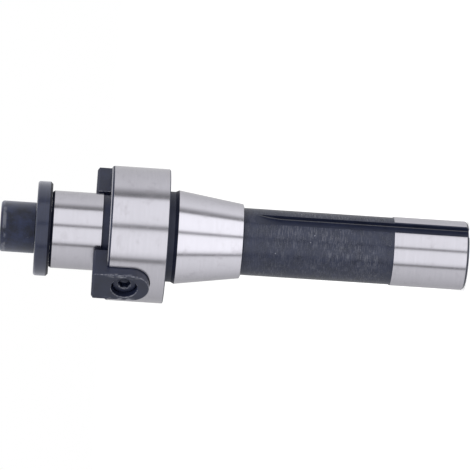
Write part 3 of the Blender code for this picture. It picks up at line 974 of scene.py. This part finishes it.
def socket_screw(name, sizes, tree, finishes, steps, thread_steps):
    """A socket head screw on Z, with its head's bearing face at Z = 0, or just below it."""
    head = lathe(
        name,
        [(0.0, sizes.height, 0)]
        + quarter(sizes.head - sizes.rounding, sizes.height - sizes.rounding, sizes.rounding)
        + [(sizes.head, sizes.foot - sizes.drop, 0), (sizes.head - sizes.foot, -sizes.drop, 0)]
        + [(0.0, -sizes.drop, 0)],
        steps,
        finishes,
    )
    rod = threaded_rod(
        name + "_rod",
        tree,
        finishes[1],
        thread_steps,
        length=sizes.shank + sizes.height * ROD_REACH,
        crest_radius=sizes.crest,
        root_radius=sizes.root,
        pitch=sizes.pitch,
        tip_radius=sizes.tip,
        mouth_radius=0.0,
        point_depth=0.0,
    )
    place(rod, Matrix.Translation((0.0, 0.0, -sizes.shank)))
    combine(head, rod, "UNION")
    corner = sizes.socket / 2 / cos(pi / HEX_SIDES)
    angles = [2 * pi * i / HEX_SIDES for i in range(HEX_SIDES)]
    hexagon = [(corner * cos(a), corner * sin(a)) for a in angles]
    socket = prism(name + "_socket", hexagon, sizes.socket_depth + CUT_MARGIN, [finishes[0]])
    combine(head, place(socket, Matrix.Translation((0.0, 0.0, sizes.height - sizes.socket_depth))))
    lead = corner + sizes.socket_lead
    floor = sizes.height - sizes.socket_depth
    cone = lathe(
        name + "_drilled",
        [
            (0.0, sizes.height + CUT_MARGIN, 2),
            (lead + CUT_MARGIN, sizes.height + CUT_MARGIN, 2),
            (lead - sizes.socket / 4, sizes.height - sizes.socket / 4, 0),
            (sizes.socket / 2 * DRILL_SHARE, floor, 0),
            (0.0, floor - sizes.socket / 2 * tan(DRILL_POINT), 0),
        ],
        steps,
        finishes,
    )
    return combine(head, cone)


class ARBOR_OT_key_screws(bpy.types.Operator):
    """Make the two key screws, with their sockets and threads"""

    bl_idname = "arbor.key_screws"
    bl_label = "Key Screws"

    def execute(self, context):
        scene = context.scene
        keys, sizes = scene.key_sizes, scene.key_screw_sizes
        finishes = [
            black_oxide("black_oxide_key_screw", scene.finishes, roughness=0.35, mottle=0.4, marks=0.0),
            thread_and_highlight_steel(scene.finishes),
            worn_oxide(scene.finishes),
        ]
        tree = thread_tree()
        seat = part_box("key_screw_1")[1].x - sizes.height
        for number, turn in ((1, 0.0), (2, pi)):
            screw = socket_screw(
                f"threaded_key_screw_{number}", sizes, tree, finishes, KEY_SCREW_STEPS, SMALL_THREAD_STEPS
            )
            place(screw, key_place(keys, seat, turn) @ Matrix.Rotation(pi / 2, 4, "Z"))
            hand_over(screw, "arbor", f"key_screw_{number}")
        return {"FINISHED"}


class ARBOR_OT_washer(bpy.types.Operator):
    """Make the thick washer"""

    bl_idname = "arbor.washer"
    bl_label = "Clamp Washer"

    def execute(self, context):
        scene = context.scene
        w = scene.washer_sizes
        low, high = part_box("clamp_washer")
        look = scene.finishes
        finishes = [
            black_oxide("black_oxide_washer", look, roughness=0.20, mottle=0.25, marks=0.5, sheen=0.55),
            # A darker, duller copy of the washer's oxide: painted shade on the back chamfer and back face,
            # where the washer meets the pilot.
            black_oxide(
                "black_oxide_washer_back", look, roughness=0.45, mottle=0.4, marks=0.5, depth=0.4, gloss=1.35
            ),
        ]
        inner, outer = w.hole + w.hole_break, high.y - w.rounding
        profile = (
            [(w.hole, high.z - w.hole_break, 0), (inner, high.z, 0)]
            + quarter(outer, high.z - w.rounding, w.rounding)
            # The back chamfer and back face take the darker copy, as painted shade.
            + [(high.y, low.z + w.back_chamfer, 1), (high.y - w.back_chamfer, low.z, 1)]
            + [(inner, low.z, 1), (w.hole, low.z + w.hole_break, 0)]
        )
        washer = lathe("thick_clamp_washer", profile, SCREW_STEPS, finishes, closed=True)
        hand_over(washer, "washer", "clamp_washer")
        return {"FINISHED"}


class ARBOR_OT_lock_screw(bpy.types.Operator):
    """Make the lock screw, with its socket and thread"""

    bl_idname = "arbor.lock_screw"
    bl_label = "Lock Screw"

    def execute(self, context):
        scene = context.scene
        sizes = scene.lock_screw_sizes
        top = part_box("lock_screw")[1].z
        finishes = [
            black_oxide(
                "black_oxide_lock_screw",
                scene.finishes,
                roughness=0.42,
                mottle=1.2,
                depth=0.95,
                gloss=1.36,
                sheen=0.65,
                # The lighter band below the head's top is a painted highlight.
                rim=(top - sizes.rim_low, top - sizes.rim_high),
            ),
            thread_and_highlight_steel(scene.finishes),
            worn_oxide(scene.finishes),
        ]
        screw = socket_screw(
            "threaded_lock_screw", sizes, thread_tree(), finishes, SCREW_STEPS, THREAD_STEPS
        )
        place(screw, Matrix.Translation((0.0, 0.0, top - sizes.height)))
        hand_over(screw, "lock_screw", "lock_screw")
        return {"FINISHED"}


class ARBOR_OT_studio(bpy.types.Operator):
    """Set up the floor, the surrounding light and the camera"""

    bl_idname = "arbor.studio"
    bl_label = "White Studio"

    def execute(self, context):
        scene = context.scene
        scene.view_settings.view_transform = "Standard"
        self.lay_floor(scene.studio)
        self.light(scene)
        self.set_camera(scene)
        return {"FINISHED"}

    def lay_floor(self, studio):
        half = studio.floor_size / 2
        floor = prism("floor", [(-half, -half), (half, -half), (half, half), (-half, half)], FLOOR_THICKNESS)
        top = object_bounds()[0].z - FLOOR_GAP
        place(floor, Matrix.Translation((0.0, 0.0, top - FLOOR_THICKNESS)))
        mat = bpy.data.materials.new("white_floor")
        mat.use_nodes = True
        tree = Tree(mat.node_tree)
        mat.node_tree.nodes.clear()
        seen = sum(tree.rays("Camera", "Glossy", "Transmission")).held()
        paint = tree.node("ShaderNodeBsdfDiffuse", values={"Color": rgba(WHITE, 0.8)})
        glow = tree.node("ShaderNodeEmission", values={"Color": rgba(WHITE), "Strength": seen * FLOOR_GLOW})
        both = tree.node("ShaderNodeAddShader", values=[paint, glow])
        end = tree.nodes.new("ShaderNodeOutputMaterial")
        tree.links.new(both.socket, end.inputs["Surface"])
        floor.data.materials.append(mat)
        floor.visible_glossy = False
        floor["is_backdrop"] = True

    def light(self, scene):
        """A white room of upright panels, whose seams give the dark lines in the ground steel."""
        world = bpy.data.worlds.new("studio")
        scene.world = world
        world.use_nodes = True
        world.node_tree.nodes.clear()
        tree = Tree(world.node_tree)
        camera_ray, glossy_ray, transmission_ray = tree.rays("Camera", "Glossy", "Transmission")
        x, y, z = tree.split(tree.node("ShaderNodeTexCoord", output=0))
        a = scene.studio.azimuth
        towards = x * cos(a) + y * sin(a)
        aside = x * sin(a) - y * cos(a)
        angle = aside.math("ARCTAN2", towards) * (180 / pi)

        front = tree.ease(angle, -66.5, -63.5) * tree.ease(angle, 46.0, 28.0)
        upper = tree.ease(angle, -150.0, -75.0, 0.62, 0.76)
        lower = tree.ease(angle, 50.0, 150.0, 0.72, 0.50)
        side = upper + (angle > 0.0) * (lower - upper)
        panels = side + front * (FRONT_LEVEL - side)
        for depth, start, dark_from, dark_to, end in SEAMS:
            dark = tree.ease(angle, start, dark_from) * tree.ease(angle, end, dark_to)
            panels = panels * (1.0 - depth * dark)
        panels = panels * tree.ease(z, -0.13, -0.27, 1.0, 1.32)
        mirrored = (glossy_ray + transmission_ray).held()
        level = panels * (DIFFUSE_LEVEL + mirrored * (1.0 - DIFFUSE_LEVEL)) * (1.0 - camera_ray) + camera_ray
        glow = tree.node("ShaderNodeBackground", values={"Color": rgba(WHITE), "Strength": level})
        shown = tree.nodes.new("ShaderNodeOutputWorld")
        tree.links.new(glow.socket, shown.inputs["Surface"])

        lamp = bpy.data.lights.new("overhead_softbox", "AREA")
        lamp.shape = "DISK"
        lamp.size = LAMP_SIZE
        lamp.energy = LAMP_POWER
        holder = bpy.data.objects.new("overhead_softbox", lamp)
        holder.location = LAMP_PLACE
        aim = Vector(LAMP_AIM) - holder.location
        holder.rotation_euler = aim.to_track_quat("-Z", "Y").to_euler()
        holder.visible_glossy = False
        scene.collection.objects.link(holder)

    def set_camera(self, scene):
        studio = scene.studio
        towards = Vector((cos(studio.azimuth), sin(studio.azimuth), 0.0))
        aside = Vector((sin(studio.azimuth), -cos(studio.azimuth), 0.0))
        camera = bpy.data.cameras.new("camera")
        camera.lens = studio.lens * 1000
        camera.clip_start, camera.clip_end = 0.01, 100.0
        holder = bpy.data.objects.new("camera", camera)
        scene.collection.objects.link(holder)
        spot = towards * studio.distance + Vector((0.0, 0.0, studio.height))
        aim = Vector((0.0, 0.0, studio.aim_height)) - aside * studio.aim_shift
        back = (spot - aim).normalized()
        down = Vector((0.0, 0.0, -1.0))
        down = (down - back * down.dot(back)).normalized()
        right = down * cos(studio.roll) - down.cross(back) * sin(studio.roll)
        up = back.cross(right)
        turn = Matrix((right, up, back)).transposed().to_4x4()
        holder.matrix_world = Matrix.Translation(spot) @ turn
        scene.camera = holder


class ARBOR_PT_sidebar(bpy.types.Panel):
    """Lists the pieces and their sizes"""

    bl_idname = "ARBOR_PT_sidebar"
    bl_label = "Shell Mill Arbor"
    bl_space_type = "VIEW_3D"
    bl_region_type = "UI"
    bl_category = "Arbor"

    def draw(self, context):
        for operator in PIECES:
            self.layout.operator(operator.bl_idname)
        for name in GROUPS:
            group = getattr(context.scene, name)
            box = self.layout.box()
            box.label(text=name.replace("_", " ").capitalize())
            for prop in group.bl_rna.properties:
                if prop.identifier not in {"rna_type", "name"}:
                    box.prop(group, prop.identifier)


PIECES = (
    ARBOR_OT_body,
    ARBOR_OT_drive_keys,
    ARBOR_OT_key_screws,
    ARBOR_OT_washer,
    ARBOR_OT_lock_screw,
    ARBOR_OT_studio,
)
GROUPS = {
    "arbor_sizes": ArborSizes,
    "key_sizes": KeySizes,
    "lock_screw_sizes": LockScrewSizes,
    "key_screw_sizes": KeyScrewSizes,
    "washer_sizes": WasherSizes,
    "finishes": Finishes,
    "studio": Studio,
}


def register():
    for cls in (*GROUPS.values(), *PIECES, ARBOR_PT_sidebar):
        bpy.utils.register_class(cls)
    for name, group in GROUPS.items():
        setattr(bpy.types.Scene, name, PointerProperty(type=group))


def unregister():
    for name in GROUPS:
        delattr(bpy.types.Scene, name)
    for cls in reversed((*GROUPS.values(), *PIECES, ARBOR_PT_sidebar)):
        bpy.utils.unregister_class(cls)


def main():
    register()
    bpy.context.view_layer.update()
    for operator in PIECES:
        area, name = operator.bl_idname.split(".")
        getattr(getattr(bpy.ops, area), name)()


if __name__ == "__main__":
    main()
